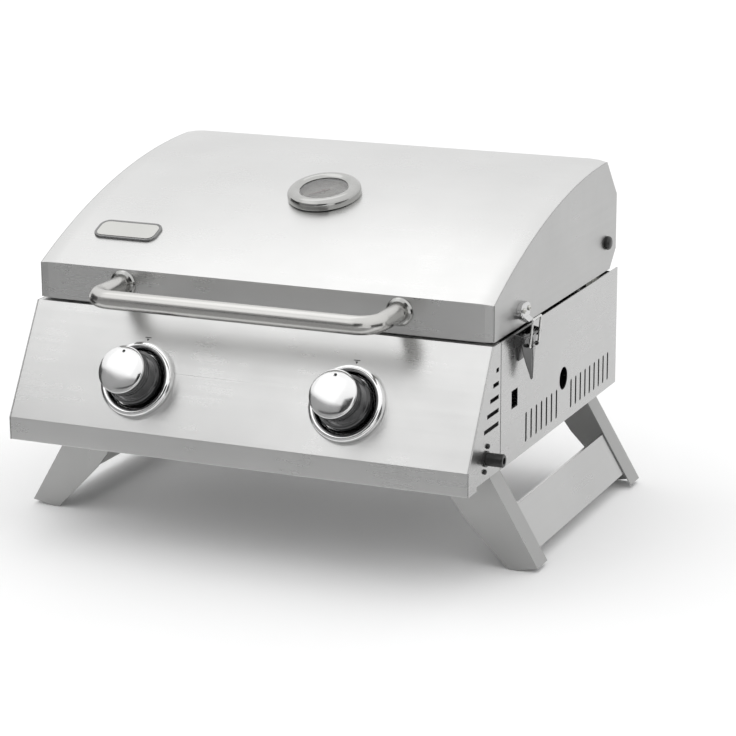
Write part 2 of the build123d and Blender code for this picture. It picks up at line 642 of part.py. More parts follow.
def leg(y_face, inward):
    """One leg: tapered plate with its outer flange; inward is +1 when the flange runs to the back."""
    near, far = y_face, y_face + inward * LEG_SHEET
    plate = leg_plate(min(near, far), max(near, far))
    top = (FOOT_HEEL_Z - LEG_TOP_Z) / cos(LEAN)
    outline = [leg_point(top, 0), leg_point(0, 0), leg_point(0, LEG_SHEET), leg_point(top, LEG_SHEET)]
    edge = y_face + inward * LEG_FLANGE
    return plate + cross_plate(outline, min(far, edge), max(far, edge))


def crossbar():
    """Wide plate between the two legs of one side, with a turned-in upper and lower edge."""
    upper, lower = -63.5, -14.7
    depth = LEG_SHEET + 0.1
    outer = [leg_point(upper, depth + 9), leg_point(upper, depth), leg_point(lower, depth),
             leg_point(lower, depth + 9)]
    inner = [leg_point(lower - 1.2, depth + 9), leg_point(lower - 1.2, depth + 1.2),
             leg_point(upper + 1.2, depth + 1.2), leg_point(upper + 1.2, depth + 9)]
    return cross_plate(outer + inner, LEG_FRONT_Y + LEG_SHEET + 8, LEG_REAR_Y - LEG_SHEET - 8)


def leg_bracket(y0, y1, side):
    """Angle bracket under the floor that carries one leg's pin."""
    x = LEG_PIVOT_X
    tab = cross_plate([(x - 14, FLOOR_Z), (x + 14, FLOOR_Z), (x + 10, LEG_PIVOT_Z - 8),
                       (x - 10, LEG_PIVOT_Z - 8)],
                      y0, y1)
    far = y1 + 12 if side > 0 else y0 - 12
    ledge = block(x - 14, x + 14, min(y0, far), max(y1, far), FLOOR_Z - 2, FLOOR_Z)
    hole = rod((x, y0 - 1, LEG_PIVOT_Z), (x, y1 + 1, LEG_PIVOT_Z), LEG_PIN_R)
    return tab + ledge - hole


def leg_stations():
    """Y spans of the brackets and pins behind each leg plate."""
    front = LEG_FRONT_Y + LEG_SHEET + GAP
    rear = LEG_REAR_Y - LEG_SHEET - GAP
    return [(front, front + BRACKET, 1), (rear - BRACKET, rear, -1)]


def leg_brackets():
    """The four brackets under the floor."""
    pieces = []
    for y0, y1, side in leg_stations():
        bracket = leg_bracket(y0, y1, side)
        pieces += [bracket, mirrored(bracket)]
    return Compound(children=pieces)


def leg_pins():
    """Shoulder pins of the four leg pivots, each with a flat head outside its leg."""
    pieces = []
    for y0, y1, side in leg_stations():
        inside = y1 if side > 0 else y0
        face = y0 - GAP * 2 - LEG_SHEET if side > 0 else y1 + GAP * 2 + LEG_SHEET
        head = face - side * 1.2
        pin = rod((LEG_PIVOT_X, inside, LEG_PIVOT_Z), (LEG_PIVOT_X, face, LEG_PIVOT_Z), LEG_PIN_R)
        pin += rod((LEG_PIVOT_X, face, LEG_PIVOT_Z), (LEG_PIVOT_X, head, LEG_PIVOT_Z), 6.5)
        pieces += [pin, mirrored(pin)]
    return Compound(children=pieces)


# ---- latches, right side ----
def out(distance, face=BASE_HALF):
    """X at a distance out from a side face."""
    return face + distance


def latch_plate():
    """Base plate on the firebox with two long ears for the lever's pin."""
    y, z = LATCH_Y, LEVER_PIVOT_Z
    plate = block(out(0), out(1.2), y - 24, y + 24, z - 8, z + 5)
    plate += block(out(0), out(1.2), y - 12, y + 12, z - 24, z - 8)
    ear_tip = LEVER_PIVOT_OUT + 2.8
    for side in (-1, 1):
        mid = y + side * 22.6
        ear = cross_plate([(out(1.2), z - 8), (out(ear_tip - 0.6), z - 3), (out(ear_tip), z),
                           (out(ear_tip - 0.6), z + 3), (out(1.2), z + 5)], mid - 0.7, mid + 0.7)
        plate += ear - rod((out(LEVER_PIVOT_OUT), mid - 2, z), (out(LEVER_PIVOT_OUT), mid + 2, z), 1.5 + FIT)
    return plate


def latch_lever():
    """Teardrop lever: wide at its pin, tapering to a lip at the finger end."""
    y, z = LATCH_Y, LEVER_PIVOT_Z
    outline = Spline((y - 17, z + 2), (y - 21.2, z - 8), (y - 14, z - 23), (y - 3.4, z - 42), (y, z - 44.5),
                     (y + 3.4, z - 42), (y + 14, z - 23), (y + 21.2, z - 8), (y + 17, z + 2))
    closing = Line((y + 17, z + 2), (y - 17, z + 2))
    blade = extrude(Plane.YZ.offset(out(0)) * make_face([outline, closing]), amount=25, dir=(1, 0, 0))
    outer = [(2.2, 3), (5.4, 3), (6.4, -6), (6.4, -22), (5.6, -38), (6.4, -45)]
    inner = [(5.0, -45), (4.2, -38), (4.9, -22), (4.6, -8), (2.2, -3)]
    section = [(out(LATCH_STAND + x), z + rise) for x, rise in outer + inner]
    lever = blade & cross_plate(section, y - 30, y + 30)
    lever += rod((out(LEVER_PIVOT_OUT), y - 23.2, z), (out(LEVER_PIVOT_OUT), y + 23.2, z), 1.5)
    root, tip = out(LATCH_STAND + 5.6), out(BAIL_PIVOT_OUT + 2.2)
    for side in (-1, 1):
        mid = y + side * 7.5
        lever += cross_plate([(root, BAIL_PIVOT_Z - 4), (tip, BAIL_PIVOT_Z - 1.6), (tip, BAIL_PIVOT_Z + 1.6),
                              (root, BAIL_PIVOT_Z + 4)], mid - 1.2, mid + 1.2)
    bore = ((out(BAIL_PIVOT_OUT), y - 12, BAIL_PIVOT_Z), (out(BAIL_PIVOT_OUT), y + 12, BAIL_PIVOT_Z))
    return lever - rod(*bore, WIRE_R + FIT)


def latch_bail():
    """Wire loop from the lever's knuckles up to the keeper."""
    y = LATCH_Y
    base_x, top_x = out(BAIL_PIVOT_OUT), out(BAIL_OUT)
    half = 11.5
    path = FilletPolyline((base_x, y - 9.4, BAIL_PIVOT_Z), (base_x, y - half - 1.0, BAIL_PIVOT_Z),
                          (top_x, y - half, BAIL_TOP_Z), (top_x, y + half, BAIL_TOP_Z),
                          (base_x, y + half + 1.0, BAIL_PIVOT_Z), (base_x, y + 9.4, BAIL_PIVOT_Z),
                          radius=1.45)
    loop = sweep(Plane(origin=(base_x, y - 9.4, BAIL_PIVOT_Z), z_dir=(0, -1, 0)) * Circle(WIRE_R), path=path)
    for side in (-1, 1):
        loop += rod((base_x, y + side * 9.4, BAIL_PIVOT_Z), (base_x, y + side * 5.9, BAIL_PIVOT_Z), WIRE_R)
    return loop


def keeper():
    """Thick rounded keeper on the lid's end, with the hook that the loop pulls on."""
    y, z, face = LATCH_Y, KEEPER_Z, LID_HALF
    pad = extrude(Plane.YZ.offset(face) * Pos(y, z) * RectangleRounded(25, 16, 7.9), amount=KEEPER_OUT,
                  dir=(1, 0, 0))
    pad = chamfer(pad.faces().sort_by(Axis.X)[-1].edges(), 1.0)
    tip = face + LATCH_STAND + 9.6
    hook = [(face, z - 5), (face, z - 8), (tip - 3.2, BAIL_TOP_Z - 6), (tip, BAIL_TOP_Z - 4),
            (tip, BAIL_TOP_Z - 2.2), (tip - 2, BAIL_TOP_Z - 2.2), (tip - 3.2, BAIL_TOP_Z - 3.6),
            (face + KEEPER_OUT - 1, z - 5)]
    piece = pad + cross_plate(hook, y - 7, y + 7)
    for plane in keeper_screw_planes():
        piece -= plane * Cylinder(1.6, 8)
    return piece


def keeper_screw_planes():
    """Seats of the two screws of the right keeper."""
    seat = LID_HALF + KEEPER_OUT
    return [Plane(origin=(seat, LATCH_Y + side * 6.6, KEEPER_Z + 1), z_dir=(1, 0, 0)) for side in (-1, 1)]


def keeper_screws():
    """Two small screws in each keeper."""
    pieces = []
    for plane in keeper_screw_planes():
        piece = screw(plane, head_r=2.6, head_h=1.6, shank_l=4.0, shank_r=1.6)
        pieces += [piece, mirrored(piece)]
    return Compound(children=pieces)


# ---- write every piece ----
save("lid_cover", lid_cover())
save_pair("lid_end", lid_end())
save("lid_handle", handle())
save("handle_rosettes", Compound(children=[rosette(-HANDLE_X), rosette(HANDLE_X)]))
save("handle_bolts", Compound(children=[handle_bolt(-HANDLE_X), handle_bolt(HANDLE_X)]))
save("gauge_bezel", gauge_bezel())
save("gauge_stem", gauge_stem())
save("gauge_dial", turned(GAUGE, [(2.4, 3.0), (27.8, 3.0), (27.8, 3.8), (2.4, 3.8)]))
save("gauge_needle", gauge_needle())
save("gauge_lens", turned(GAUGE, [(0, 7.2), (27.8, 7.2), (27.8, 8.1), (0, 8.1)]))
save("nameplate", nameplate())
save("hinge_bolts", Compound(children=[hinge_bolt(), mirrored(hinge_bolt())]))
save("hinge_arms", Compound(children=[hinge_arm(), mirrored(hinge_arm())]))
save("latch_keepers", Compound(children=[keeper(), mirrored(keeper())]))
save("keeper_screws", keeper_screws())

save_pair("firebox_side", firebox_side())
save("firebox_rear", firebox_rear())
save("firebox_bulkhead", bulkhead())
save("firebox_floor", firebox_floor())
save("control_panel", control_panel())
save_pair("panel_cheek", cheek())
save("grate_ledges", grate_ledges())
save_pair("grate", grate(1.5, BASE_HALF - SHEET - 1.5))
save_pair("burner", burner(KNOB_X))
save_pair("heat_tent", heat_tent(KNOB_X))
save("electrodes", Compound(children=[electrode(KNOB_X), electrode(-KNOB_X)]))
save("manifold", manifold())
save("valve_bodies", Compound(children=[valve_body(KNOB_X), valve_body(-KNOB_X)]))
save_pair("valve_plug", valve_plug(KNOB_X))
save_pair("knob", knob(KNOB_X))
save_pair("knob_cap", knob_cap(KNOB_X))
save_pair("knob_bezel", bezel(KNOB_X))
save("gas_inlet", gas_inlet())
save("inlet_screws", inlet_screws())
save("drip_tray", drip_tray())
save("tray_rails", tray_rails())

save_pair("leg_front", leg(LEG_FRONT_Y, 1))
save_pair("leg_rear", leg(LEG_REAR_Y, -1))
save_pair("leg_crossbar", crossbar())
save("leg_brackets", leg_brackets())
save("leg_pins", leg_pins())

save_pair("latch_plate", latch_plate())
save_pair("latch_lever", latch_lever())
save_pair("latch_bail", latch_bail())
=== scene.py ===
"""Looks of the tabletop gas grill: materials, detailed pieces, studio and camera round the CAD frame."""
import json
from math import cos, pi, radians, sin, sqrt

import bmesh
import bpy
from mathutils import Matrix, Vector


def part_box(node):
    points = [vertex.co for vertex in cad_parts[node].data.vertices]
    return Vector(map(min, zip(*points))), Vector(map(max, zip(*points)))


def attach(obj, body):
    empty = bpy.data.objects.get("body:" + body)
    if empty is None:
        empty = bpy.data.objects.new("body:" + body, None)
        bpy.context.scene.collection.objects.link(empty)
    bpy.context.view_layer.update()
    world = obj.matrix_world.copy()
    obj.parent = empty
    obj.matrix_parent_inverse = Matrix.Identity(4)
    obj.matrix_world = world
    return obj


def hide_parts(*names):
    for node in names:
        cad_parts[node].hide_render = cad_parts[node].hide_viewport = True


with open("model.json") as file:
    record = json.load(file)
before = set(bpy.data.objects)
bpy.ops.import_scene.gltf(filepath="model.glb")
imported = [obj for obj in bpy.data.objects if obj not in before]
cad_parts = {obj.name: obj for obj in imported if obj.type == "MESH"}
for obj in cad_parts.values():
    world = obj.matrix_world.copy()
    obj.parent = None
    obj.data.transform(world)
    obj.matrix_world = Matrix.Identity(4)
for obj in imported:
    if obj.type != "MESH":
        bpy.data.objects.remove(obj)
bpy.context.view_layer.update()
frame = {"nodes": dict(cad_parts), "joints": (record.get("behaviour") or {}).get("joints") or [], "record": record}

NODES = frame["nodes"]

# ---- camera and studio, metres ----
CAMERA_AT = (1.0962, -2.3515, 0.8526)
CAMERA_YAW = radians(23.84)
CAMERA_PITCH = radians(15.10)
CAMERA_ROLL = radians(-0.27)
LENS = 124.63
HORIZON_LIGHT = 0.95
ZENITH_LIGHT = 1.25


def add_camera():
    """Camera in front, to the right and a little above."""
    data = bpy.data.cameras.new("camera")
    data.lens = LENS
    data.sensor_width = 36.0
    data.clip_end = 50.0
    camera = bpy.data.objects.new("camera", data)
    bpy.context.scene.collection.objects.link(camera)
    turn = Matrix.Rotation(CAMERA_YAW, 4, "Z") @ Matrix.Rotation(pi / 2 - CAMERA_PITCH, 4, "X")
    camera.matrix_world = Matrix.Translation(CAMERA_AT) @ turn @ Matrix.Rotation(CAMERA_ROLL, 4, "Z")
    bpy.context.scene.camera = camera


# ---- shader helpers ----
class Shader:
    """A node material whose nodes are added by name."""

    def __init__(self, name, **sockets):
        """Starts with a surface shader whose named inputs have even values."""
        self.material = bpy.data.materials.new(name)
        self.material.use_nodes = True
        self.tree = self.material.node_tree
        self.tree.nodes.clear()
        self.bsdf = self.tree.nodes.new("ShaderNodeBsdfPrincipled")
        output = self.tree.nodes.new("ShaderNodeOutputMaterial")
        self.link(self.bsdf.outputs["BSDF"], output.inputs["Surface"])
        for socket, value in sockets.items():
            self.bsdf.inputs[socket.replace("_", " ")].default_value = value

    def link(self, source, target):
        """Joins two sockets."""
        self.tree.links.new(source, target)

    def add(self, kind, links=None, **values):
        """New node of a kind, with its properties and its inputs' values or sources."""
        node = self.tree.nodes.new("ShaderNode" + kind)
        for key, value in values.items():
            setattr(node, key, value)
        for socket, value in (links or {}).items():
            if isinstance(value, bpy.types.NodeSocket):
                self.link(value, node.inputs[socket])
            else:
                node.inputs[socket].default_value = value
        return node

    def coords(self, scale):
        """Object coordinates, stretched along each axis."""
        position = self.add("TexCoord").outputs["Object"]
        return self.add("Mapping", {"Vector": position, "Scale": scale}).outputs["Vector"]

    def noise(self, scale, detail=3.0, roughness=0.55, at=(1, 1, 1)):
        """Noise on the object coordinates."""
        return self.add("TexNoise", {"Vector": self.coords(at), "Scale": scale, "Detail": detail,
                                     "Roughness": roughness}).outputs["Fac"]

    def ramp(self, value, low, high, low_at=0.3, high_at=0.7):
        """Colour between two ends, by a value."""
        node = self.add("ValToRGB", {"Fac": value})
        first, last = node.color_ramp.elements[0], node.color_ramp.elements[1]
        first.position, last.position = low_at, high_at
        first.color, last.color = colour(low), colour(high)
        return node.outputs["Color"]

    def mix(self, factor, a, b):
        """Blend of two colours."""
        node = self.add("Mix", data_type="RGBA")
        for socket, value in ((node.inputs[0], factor), (node.inputs[6], a), (node.inputs[7], b)):
            if isinstance(value, bpy.types.NodeSocket):
                self.link(value, socket)
            else:
                socket.default_value = value
        return node.outputs[2]

    def remap(self, value, low, high, low_in=0.0, high_in=1.0):
        """Value moved from one range to another, held at its ends."""
        ends = {"From Min": low_in, "From Max": high_in, "To Min": low, "To Max": high}
        return self.add("MapRange", {"Value": value, **ends}).outputs["Result"]

    def bump(self, height, distance, strength=1.0, onto=None):
        """Normal raised by a height, on top of another normal if one is given."""
        node = self.add("Bump", {"Height": height, "Distance": distance, "Strength": strength})
        if onto is not None:
            self.link(onto, node.inputs["Normal"])
        return node.outputs["Normal"]

    def edges(self, radius):
        """Mask of the narrow band along sharp edges."""
        rounded = self.add("Bevel", {"Radius": radius}, samples=4).outputs["Normal"]
        plain = self.add("NewGeometry").outputs["Normal"]
        likeness = self.add("VectorMath", {0: rounded, 1: plain}, operation="DOT_PRODUCT").outputs["Value"]
        return self.remap(likeness, 0.6, 0.0, 0.80, 0.97)

    def math(self, operation, a, b=0.0):
        """Sum, comparison or other operation on numbers."""
        return self.add("Math", {0: a, 1: b}, operation=operation).outputs[0]

    def set(self, socket, value):
        """Feeds an input of the surface shader."""
        self.link(value, self.bsdf.inputs[socket])


def colour(value):
    """Grey level or RGB as RGBA."""
    if isinstance(value, (int, float)):
        return (value, value, value, 1.0)
    return (*value, 1.0)


def steel(name, base, roughness, grain="X", fine=700.0, inside=1.0):
    """Brushed stainless: long fine scratches along one axis, soft clouding, smears, and edges brightened partly by
    rubbed wear and partly by a painted highlight.

    Faces that look sideways are brushed from front to back; the faces turned back into the inside can be darkened
    with painted shade."""
    shader = Shader(name, Metallic=1.0, Anisotropic=0.6)
    along = 12.0 / fine
    stretch = {"X": (along, 1, 1), "Y": (1, along, 1), "Z": (1, 1, along)}
    facing = shader.add("SeparateXYZ", {"Vector": shader.add("TexCoord").outputs["Normal"]}).outputs
    scratches = shader.noise(fine, 2.0, 0.6, stretch[grain])
    broad = shader.noise(fine * 0.3, 2.0, 0.5, stretch[grain])
    normal = shader.add("NewGeometry").outputs["Normal"]
    grain_axis = {"X": (1, 0, 0), "Y": (0, 1, 0), "Z": (0, 0, 1)}
    turned = shader.add("VectorMath", {0: normal, 1: grain_axis[grain]}, operation="CROSS_PRODUCT")
    across = turned.outputs["Vector"]
    if grain == "X":
        sideways = shader.math("GREATER_THAN", shader.math("ABSOLUTE", facing["X"]), 0.7)
        scratches = shader.mix(sideways, scratches, shader.noise(fine, 2.0, 0.6, stretch["Y"]))
        broad = shader.mix(sideways, broad, shader.noise(fine * 0.3, 2.0, 0.5, stretch["Y"]))
        side_turned = shader.add("VectorMath", {0: normal, 1: grain_axis["Y"]}, operation="CROSS_PRODUCT")
        across = shader.mix(sideways, across, side_turned.outputs["Vector"])
    shader.set("Tangent", across)
    clouds = shader.noise(7.0, 3.0, 0.55)
    tone = shader.ramp(clouds, [c * 0.965 for c in base], [min(1, c * 1.035) for c in base])
    tone = shader.mix(shader.remap(scratches, 0.0, 0.02, 0.35, 0.7), tone, colour([c * 0.78 for c in base]))
    # Painted highlight, partly rubbed wear: a narrow band along sharp edges and folds is lightened.
    tone = shader.mix(shader.edges(0.0007), tone, colour([min(1, c * 1.2 + 0.03) for c in base]))
    # Painted shade: faces that look backward, into the inside, are darkened towards the inside fraction of the
    # base grey.
    if inside < 1.0:
        backward_shade = shader.remap(facing["Y"], 0.0, 1.0, 0.2, 0.6)
        tone = shader.mix(backward_shade, tone, colour([c * inside for c in base]))
    shader.set("Base Color", tone)
    smears = shader.remap(shader.noise(16.0, 4.0, 0.6), -0.02, 0.03, 0.35, 0.7)
    gloss = shader.remap(broad, roughness * 0.95, roughness * 1.06, 0.3, 0.7)
    shader.set("Roughness", shader.math("ADD", gloss, smears))
    shader.set("Normal", shader.bump(scratches, 0.00002, 0.03, shader.bump(broad, 0.00003, 0.03)))
    return shader.material


def polished(name, base, roughness):
    """Chrome plate with faint wiping marks."""
    shader = Shader(name, Metallic=1.0)
    marks = shader.noise(60.0, 5.0, 0.65)
    shader.set("Base Color", shader.ramp(marks, [c * 0.94 for c in base], base))
    shader.set("Roughness", shader.remap(marks, roughness * 0.7, roughness * 1.6, 0.3, 0.75))
    shader.set("Normal", shader.bump(shader.noise(35.0, 2.0), 0.00006, 0.15))
    return shader.material


def plastic(name, base, roughness, coat=0.0, grain=700.0):
    """Moulded plastic or paint with a fine skin and small gloss changes."""
    shader = Shader(name, Metallic=0.0)
    shader.bsdf.inputs["Coat Weight"].default_value = coat
    shader.bsdf.inputs["Coat Roughness"].default_value = 0.08
    skin = shader.noise(grain, 3.0)
    clouds = shader.noise(30.0, 4.0)
    shader.set("Base Color", shader.ramp(clouds, [c * 0.8 for c in base], [min(1, c * 1.15) for c in base]))
    shader.set("Roughness", shader.remap(clouds, roughness * 0.8, roughness * 1.25, 0.3, 0.7))
    shader.set("Normal", shader.bump(skin, 0.00003, 0.3))
    return shader.material


def clear_glass(name):
    """Clear glass with faint smears."""
    shader = Shader(name, Roughness=0.03, IOR=1.45)
    shader.bsdf.inputs["Transmission Weight"].default_value = 1.0
    smear = shader.noise(40.0, 3.0)
    shader.set("Base Color", shader.ramp(smear, 0.93, 0.99))
    return shader.material


MATERIALS = {
    # The stainless sheets are one steel. Their differing base greys are lit and shaded copies of it: the lid and
    # panel lightest, the body, crossbars, lid ends and legs darker, which is painted shade.
    "lid_sheet": steel("lid_sheet", (0.63, 0.63, 0.625), 0.29),
    "lid_end_sheet": steel("lid_end_sheet", (0.40, 0.40, 0.396), 0.30),
    "body_sheet": steel("body_sheet", (0.46, 0.46, 0.456), 0.28),
    # Panel sheet: its inside faces get painted shade, down to 0.15 of the base grey.
    "panel_sheet": steel("panel_sheet", (0.66, 0.66, 0.655), 0.29, inside=0.15),
    "leg_sheet": steel("leg_sheet", (0.37, 0.37, 0.366), 0.30, "Z"),
    # Painted shade: the firebox bulkhead gets a near-black sheet standing for the shade behind the slots and gaps.
    "inner_sheet": steel("inner_sheet", (0.10, 0.10, 0.10), 0.40),
    "crossbar_sheet": steel("crossbar_sheet", (0.48, 0.48, 0.476), 0.30, "Y"),
    "tube_steel": steel("tube_steel", (0.54, 0.535, 0.52), 0.21),
    "bright_chrome": polished("bright_chrome", (0.86, 0.86, 0.86), 0.06),
    "knob_chrome": polished("knob_chrome", (0.80, 0.80, 0.80), 0.15),
    # Painted shade: chrome darkened to 0.44 for the dark bands in the gauge ring and handle rosettes.
    "gauge_chrome": polished("gauge_chrome", (0.44, 0.44, 0.43), 0.12),
    "latch_chrome": polished("latch_chrome", (0.58, 0.58, 0.58), 0.12),
    # Painted reflection and shadow: near-black chrome that makes the latch levers and plates show as the dark
    # teardrop of the lever's reflection and shadow on the side sheet.
    "lever_chrome": polished("lever_chrome", (0.11, 0.11, 0.11), 0.20),
    "wire_steel": steel("wire_steel", (0.62, 0.62, 0.61), 0.22, "Y"),
    "burner_steel": steel("burner_steel", (0.50, 0.47, 0.43), 0.36, "Y"),
    "tent_steel": steel("tent_steel", (0.50, 0.49, 0.47), 0.36, "X"),
    "tray_metal": steel("tray_metal", (0.60, 0.60, 0.60), 0.42, "Y"),
    "valve_brass": polished("valve_brass", (0.66, 0.50, 0.24), 0.28),
    "pipe_metal": steel("pipe_metal", (0.62, 0.62, 0.62), 0.34, "X"),
    "knob_black": plastic("knob_black", (0.016, 0.016, 0.017), 0.16, 0.6),
    "fitting_black": plastic("fitting_black", (0.010, 0.010, 0.010), 0.30),
    "zinc": steel("zinc", (0.60, 0.60, 0.57), 0.32, "Y"),
    "dial_face": plastic("dial_face", (0.15, 0.14, 0.125), 0.45),
    "dial_print": plastic("dial_print", (0.02, 0.02, 0.02), 0.5),
    "needle_paint": plastic("needle_paint", (0.10, 0.05, 0.04), 0.35),
    "gauge_glass": clear_glass("gauge_glass"),
    "ceramic": plastic("ceramic", (0.80, 0.78, 0.74), 0.30, 0.3),
    "plate_metal": steel("plate_metal", (0.55, 0.55, 0.53), 0.34),
    "badge_rim": polished("badge_rim", (0.26, 0.26, 0.26), 0.22),
}


# Own variants with painted shade: the bulkhead gets near-black sheet for the shade inside the firebox, the
# rosettes darkened chrome.
OWN_FINISH = {"handle_rosettes": "gauge_chrome", "firebox_bulkhead": "inner_sheet",
              # Lid ends and crossbars get darker copies of the sheet steel, painted shade.
              "inlet_screws": "fitting_black", "lid_end_right": "lid_end_sheet",
              "lid_end_left": "lid_end_sheet", "control_panel": "panel_sheet",
              # The latch plates get the near-black chrome, a painted reflection and shadow of the levers.
              "latch_plate_right": "lever_chrome", "latch_plate_left": "lever_chrome",
              "leg_crossbar_right": "crossbar_sheet", "leg_crossbar_left": "crossbar_sheet"}


def paint_nodes():
    """Gives every CAD node the material of its slot, or its own variant of it."""
    for part in frame["record"]["subparts"]:
        mesh = NODES[part["node"]].data
        mesh.materials.clear()
        mesh.materials.append(MATERIALS[OWN_FINISH.get(part["node"], part["material_slot"])])


# ---- geometry helpers ----
def joint(name):
    """Point of a joint's axis in the frame, and its unit direction, turned to point upward."""
    found = next(entry for entry in frame["joints"] if entry["name"] == name)
    axis = Vector(found["axis"]).normalized()
    return Vector(found["pos_m"]), -axis if axis.z < 0 else axis


def reach(node, origin, axis):
    """Largest radius and the low and high ends of a CAD node about an axis."""
    offsets = [NODES[node].matrix_world @ vertex.co - origin for vertex in NODES[node].data.vertices]
    heights = [offset.dot(axis) for offset in offsets]
    radii = [(offset - axis * height).length for offset, height in zip(offsets, heights)]
    return max(radii), min(heights), max(heights)


def plane_at(origin, axis, across=Vector((1, 0, 0))):
    """Matrix whose Z is the axis and whose X lies along the given direction."""
    z = axis.normalized()
    x = (across - z * across.dot(z)).normalized()
    turn = Matrix((x, z.cross(x), z)).transposed().to_4x4()
    return Matrix.Translation(origin) @ turn


def soften(profile, radius, steps=4):
    """Rounds the inner corners of a (radius, height) outline."""
    points = [Vector(point) for point in profile]
    rounded = [points[0]]
    for before, corner, after in zip(points, points[1:], points[2:]):
        back, ahead = before - corner, after - corner
        cut = min(radius, back.length * 0.45, ahead.length * 0.45)
        start, end = corner + back.normalized() * cut, corner + ahead.normalized() * cut
        for step in range(steps + 1):
            t = step / steps
            rounded.append(start * (1 - t) ** 2 + corner * 2 * t * (1 - t) + end * t * t)
    rounded.append(points[-1])
    return rounded


def add_lathe(build, plane, profile, segments=96):
    """Turns a (radius, height) outline about the plane's Z axis into the open mesh."""
    rings = []
    for radius, height in profile:
        if radius < 1e-6:
            rings.append([build.verts.new(plane @ Vector((0, 0, height)))])
            continue
        ring = []
        for index in range(segments):
            angle = 2 * pi * index / segments
            ring.append(build.verts.new(plane @ Vector((radius * cos(angle), radius * sin(angle), height))))
        rings.append(ring)
    for low, high in zip(rings, rings[1:]):
        for index in range(segments):
            following = (index + 1) % segments
            corners = [low[index % len(low)], low[following % len(low)],
                       high[following % len(high)], high[index % len(high)]]
            unique = list(dict.fromkeys(corners))
            if len(unique) > 2:
                build.faces.new(unique)


def add_prism(build, plane, outline, low, high):
    """Extrudes a flat outline of (x, y) points along the plane's Z."""
    bottom = [build.verts.new(plane @ Vector((x, y, low))) for x, y in outline]
    top = [build.verts.new(plane @ Vector((x, y, high))) for x, y in outline]
    build.faces.new(bottom[::-1])
    build.faces.new(top)
    count = len(outline)
    for index in range(count):
        following = (index + 1) % count
        build.faces.new((bottom[index], bottom[following], top[following], top[index]))


def finish_piece(build, name, body, slot, nodes=(), sharp=35.0, material=None):
    """Makes the built mesh a smooth-shaded piece that rides on a body."""
    bmesh.ops.recalc_face_normals(build, faces=build.faces)
    mesh = bpy.data.meshes.new(name)
    build.to_mesh(mesh)
    build.free()
    mesh.shade_smooth()
    mesh.set_sharp_from_angle(angle=radians(sharp))
    mesh.materials.append(MATERIALS[material or slot])
    piece = bpy.data.objects.new(name, mesh)
    bpy.context.scene.collection.objects.link(piece)
    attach(piece, body)
    if nodes:
        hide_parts(*nodes)
    return piece


# ---- control knobs ----
DIMPLE_R = 0.0016
DIMPLE_IN = 0.0066
PRINT_THICKNESS = 0.00012


def knob_face(side):
    """Domed chrome face of a knob with a small dark dimple near its top."""
    origin, axis = joint(f"knob_turn_{side}")
    radius, low, high = reach(f"knob_cap_{side}", origin, axis)
    plane = plane_at(origin, axis)
    rim = low + (high - low) * 0.34
    profile = [(0, low), (radius - 0.0004, low), (radius, low + 0.0005), (radius, rim - 0.0004)]
    rings = 56
    for index in range(rings + 1):
        angle = pi / 2 * index / rings
        spread = (radius - 0.0003) * cos(angle) ** 0.9 if index < rings else 0
        profile.append((spread, rim + (high - rim) * sin(angle) ** 1.15))
    build = bmesh.new()
    add_lathe(build, plane, profile, 160)
    centre = plane @ Vector((0, radius - DIMPLE_IN, 0))
    for vertex in build.verts:
        offset = vertex.co - centre
        height = offset.dot(axis)
        away = (offset - axis * height).length
        if height > rim and away < DIMPLE_R:
            vertex.co -= axis * 0.0011 * (1 - (away / DIMPLE_R) ** 4)
    piece = finish_piece(build, f"knob_face_{side}", f"knob_{side}", "bright_chrome", [f"knob_cap_{side}"],
                         50, "knob_chrome")
    piece.data.materials.append(MATERIALS["knob_black"])
    for face in piece.data.polygons:
        offset = face.center - centre
        away = (offset - axis * offset.dot(axis)).length
        if away < DIMPLE_R * 0.86 and offset.dot(axis) > rim:
            face.material_index = 1


def knob_grip(side):
    """Black grip: flared foot, ring grooves and a lip under the chrome face, on its stem."""
    origin, axis = joint(f"knob_turn_{side}")
    radius, low, high = reach(f"knob_{side}", origin, axis)
    foot = high - 0.0340
    neck = radius - 0.0044
    profile = [(0, low), (0.003, low), (0.003, foot), (radius - 0.0016, foot), (radius, foot + 0.0018),
               (radius, foot + 0.0076), (radius - 0.0010, foot + 0.0092), (neck + 0.0018, foot + 0.0104)]
    for groove in range(3):
        height = foot + 0.0200 + 0.0046 * groove
        profile += [(neck, height - 0.0012), (neck, height), (neck - 0.0007, height + 0.0004),
                    (neck - 0.0007, height + 0.0009), (neck, height + 0.0013)]
    profile += [(neck, high - 0.0012), (neck - 0.0006, high), (0, high)]
    build = bmesh.new()
    add_lathe(build, plane_at(origin, axis), soften(profile, 0.0005, 3), 128)
    finish_piece(build, f"knob_grip_{side}", f"knob_{side}", "knob_black", [f"knob_{side}"], 40)


def bezel_ring(side):
    """Chrome ring round a knob, rolled over at its crest and dished inside."""
    origin, axis = joint(f"knob_turn_{side}")
    node = f"knob_bezel_{side}"
    radius, low, high = reach(node, origin, axis)
    floor = low + 0.0014
    inner = 0.016
    profile = [(inner, low), (radius, low), (radius, high - 0.0042), (radius - 0.0012, high - 0.0014),
               (radius - 0.0042, high), (radius - 0.0074, high - 0.0014), (radius - 0.0088, high - 0.0044),
               (radius - 0.0094, floor), (inner, floor), (inner, low)]
    build = bmesh.new()
    add_lathe(build, plane_at(origin, axis), soften(profile, 0.0018, 6), 144)
    finish_piece(build, f"bezel_ring_{side}", "base", "bright_chrome", [node], 60)


